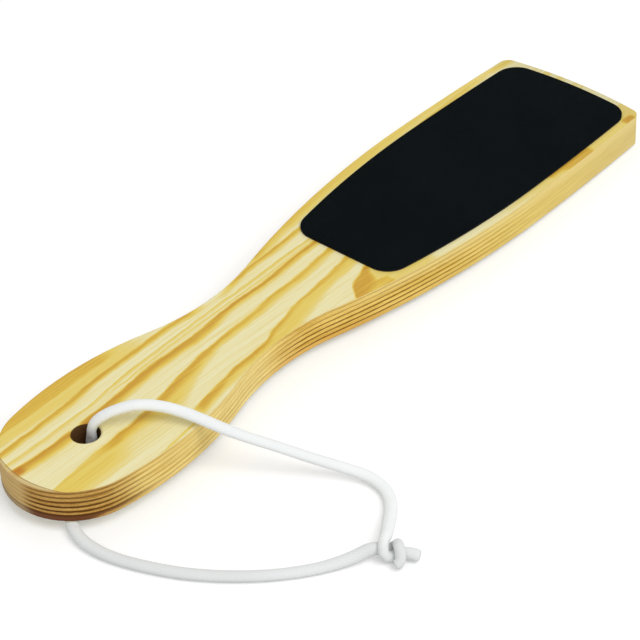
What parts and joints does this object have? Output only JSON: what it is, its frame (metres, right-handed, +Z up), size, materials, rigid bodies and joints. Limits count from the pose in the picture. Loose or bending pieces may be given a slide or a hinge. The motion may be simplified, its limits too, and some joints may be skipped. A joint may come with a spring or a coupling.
{
  "type": "foot file",
  "caption": "Wooden paddle foot file with a waisted handle, an abrasive pad on each side of its broad head, and a knotted hanging cord through the handle.",
  "frame": {"origin": "on the table, under the middle of the board as it lies on its lower pad and its own cord", "axes": "+X along the board from the handle to the head, +Y across it to the side away from the cord, +Z up"},
  "size_m": [0.265, 0.1301, 0.0232],
  "materials": {
    "pine_face": "smooth sanded, satin",
    "core_long": "sanded edge, satin",
    "core_cross": "sanded edge, satin",
    "glue": "dark cured glue, satin",
    "pad_adhesive": "matte",
    "pad_backing": "matte",
    "abrasive": "gritty, matte",
    "cord": "soft braided cotton"
  },
  "bodies": {
    "root": {"bottom_face_veneer": "pine_face", "top_face_veneer": "pine_face", "core_ply_1": "core_cross", "core_ply_2": "core_long", "core_ply_3": "core_cross", "core_ply_4": "core_long", "core_ply_5": "core_cross", "glue_line_1": "glue", "glue_line_2": "glue", "glue_line_3": "glue", "glue_line_4": "glue", "glue_line_5": "glue", "glue_line_6": "glue", "top_pad_adhesive": "pad_adhesive", "top_pad_backing": "pad_backing", "top_pad_grit": "abrasive", "bottom_pad_adhesive": "pad_adhesive", "bottom_pad_backing": "pad_backing", "bottom_pad_grit": "abrasive", "cord_upper_strand": "cord", "cord_under_handle": "cord", "cord_lower_strand": "cord", "cord_knot": "cord", "cord_tail_long": "cord", "cord_tail_short": "cord"}
  },
  "joints": []
}
